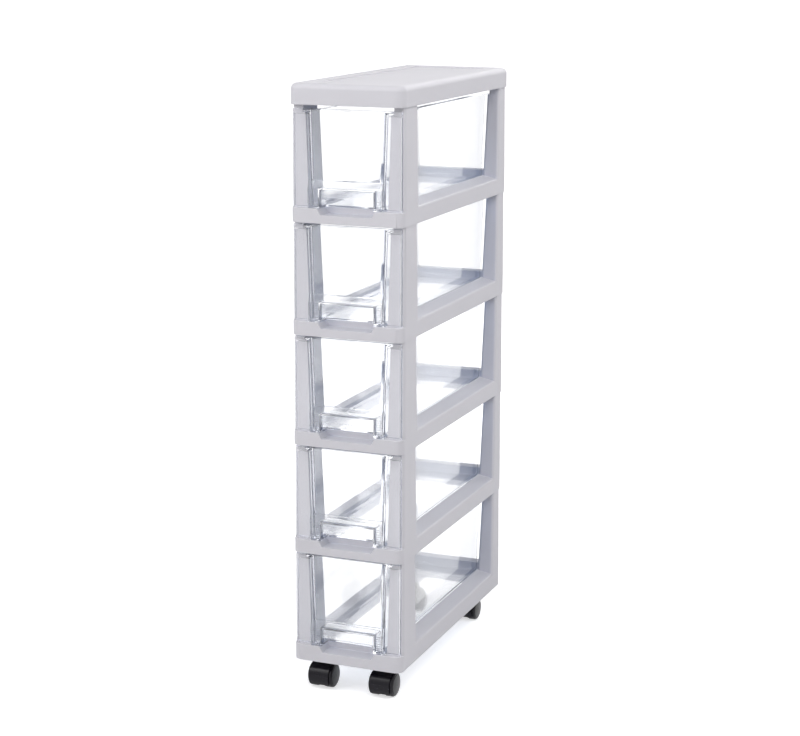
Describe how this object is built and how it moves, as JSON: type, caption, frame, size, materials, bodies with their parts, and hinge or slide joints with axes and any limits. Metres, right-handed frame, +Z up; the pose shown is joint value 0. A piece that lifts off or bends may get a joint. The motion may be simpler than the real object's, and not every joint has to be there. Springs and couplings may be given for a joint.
{
  "type": "plastic drawer tower",
  "caption": "Slim rolling tower of stacked open frames with clear pull-out drawers, finger notches, a flat recessed top and twin-wheel swivel casters, for craft supplies and small parts.",
  "frame": {"origin": "on the floor, under the middle of the tower's footprint", "axes": "+Z up, -Y is the front that the drawers open towards, +X to the right when facing along +Y"},
  "size_m": [0.1824, 0.4624, 0.937],
  "materials": {
    "frame_plastic": "satin light grey moulded polypropylene",
    "clear_plastic": "clear glossy moulded polystyrene",
    "caster_plastic": "glossy black moulded nylon",
    "steel": "bright drawn steel"
  },
  "bodies": {
    "tower": {"top_cover": "frame_plastic", "tier_frame_1": "frame_plastic", "tier_frame_2": "frame_plastic", "tier_frame_3": "frame_plastic", "tier_frame_4": "frame_plastic", "base_frame": "frame_plastic"},
    "drawer_1": {"drawer_1": "clear_plastic"},
    "drawer_2": {"drawer_2": "clear_plastic"},
    "drawer_3": {"drawer_3": "clear_plastic"},
    "drawer_4": {"drawer_4": "clear_plastic"},
    "drawer_5": {"drawer_5": "clear_plastic"},
    "front_left_caster": {"front_left_hood": "caster_plastic", "front_left_stem": "steel", "front_left_grip_ring": "steel", "front_left_axle": "steel"},
    "front_left_outer": {"front_left_outer_wheel": "caster_plastic"},
    "front_left_inner": {"front_left_inner_wheel": "caster_plastic"},
    "front_right_caster": {"front_right_hood": "caster_plastic", "front_right_stem": "steel", "front_right_grip_ring": "steel", "front_right_axle": "steel"},
    "front_right_outer": {"front_right_outer_wheel": "caster_plastic"},
    "front_right_inner": {"front_right_inner_wheel": "caster_plastic"},
    "back_left_caster": {"back_left_hood": "caster_plastic", "back_left_stem": "steel", "back_left_grip_ring": "steel", "back_left_axle": "steel"},
    "back_left_outer": {"back_left_outer_wheel": "caster_plastic"},
    "back_left_inner": {"back_left_inner_wheel": "caster_plastic"},
    "back_right_caster": {"back_right_hood": "caster_plastic", "back_right_stem": "steel", "back_right_grip_ring": "steel", "back_right_axle": "steel"},
    "back_right_outer": {"back_right_outer_wheel": "caster_plastic"},
    "back_right_inner": {"back_right_inner_wheel": "caster_plastic"}
  },
  "joints": [
    {"name": "drawer_1_slide", "type": "slide", "parent": "tower", "child": "drawer_1", "axis": [0, -1, 0], "range_m": [0, 0.349]},
    {"name": "drawer_2_slide", "type": "slide", "parent": "tower", "child": "drawer_2", "axis": [0, -1, 0], "range_m": [0, 0.349]},
    {"name": "drawer_3_slide", "type": "slide", "parent": "tower", "child": "drawer_3", "axis": [0, -1, 0], "range_m": [0, 0.349]},
    {"name": "drawer_4_slide", "type": "slide", "parent": "tower", "child": "drawer_4", "axis": [0, -1, 0], "range_m": [0, 0.349]},
    {"name": "drawer_5_slide", "type": "slide", "parent": "tower", "child": "drawer_5", "axis": [0, -1, 0], "range_m": [0, 0.349]},
    {"name": "front_left_swivel", "type": "hinge", "parent": "tower", "child": "front_left_caster", "pos_m": [-0.051, -0.188, 0.049], "axis": [0, 0, 1], "continuous": true},
    {"name": "front_left_outer_spin", "type": "hinge", "parent": "front_left_caster", "child": "front_left_outer", "pos_m": [-0.06525, -0.201, 0.019], "axis": [1, 0, 0], "continuous": true},
    {"name": "front_left_inner_spin", "type": "hinge", "parent": "front_left_caster", "child": "front_left_inner", "pos_m": [-0.03675, -0.201, 0.019], "axis": [1, 0, 0], "continuous": true},
    {"name": "front_right_swivel", "type": "hinge", "parent": "tower", "child": "front_right_caster", "pos_m": [0.051, -0.188, 0.049], "axis": [0, 0, 1], "continuous": true},
    {"name": "front_right_outer_spin", "type": "hinge", "parent": "front_right_caster", "child": "front_right_outer", "pos_m": [0.06525, -0.201, 0.019], "axis": [1, 0, 0], "continuous": true},
    {"name": "front_right_inner_spin", "type": "hinge", "parent": "front_right_caster", "child": "front_right_inner", "pos_m": [0.03675, -0.201, 0.019], "axis": [1, 0, 0], "continuous": true},
    {"name": "back_left_swivel", "type": "hinge", "parent": "tower", "child": "back_left_caster", "pos_m": [-0.051, 0.188, 0.049], "axis": [0, 0, 1], "continuous": true},
    {"name": "back_left_outer_spin", "type": "hinge", "parent": "back_left_caster", "child": "back_left_outer", "pos_m": [-0.06525, 0.175, 0.019], "axis": [1, 0, 0], "continuous": true},
    {"name": "back_left_inner_spin", "type": "hinge", "parent": "back_left_caster", "child": "back_left_inner", "pos_m": [-0.03675, 0.175, 0.019], "axis": [1, 0, 0], "continuous": true},
    {"name": "back_right_swivel", "type": "hinge", "parent": "tower", "child": "back_right_caster", "pos_m": [0.051, 0.188, 0.049], "axis": [0, 0, 1], "continuous": true},
    {"name": "back_right_outer_spin", "type": "hinge", "parent": "back_right_caster", "child": "back_right_outer", "pos_m": [0.06525, 0.175, 0.019], "axis": [1, 0, 0], "continuous": true},
    {"name": "back_right_inner_spin", "type": "hinge", "parent": "back_right_caster", "child": "back_right_inner", "pos_m": [0.03675, 0.175, 0.019], "axis": [1, 0, 0], "continuous": true}
  ]
}
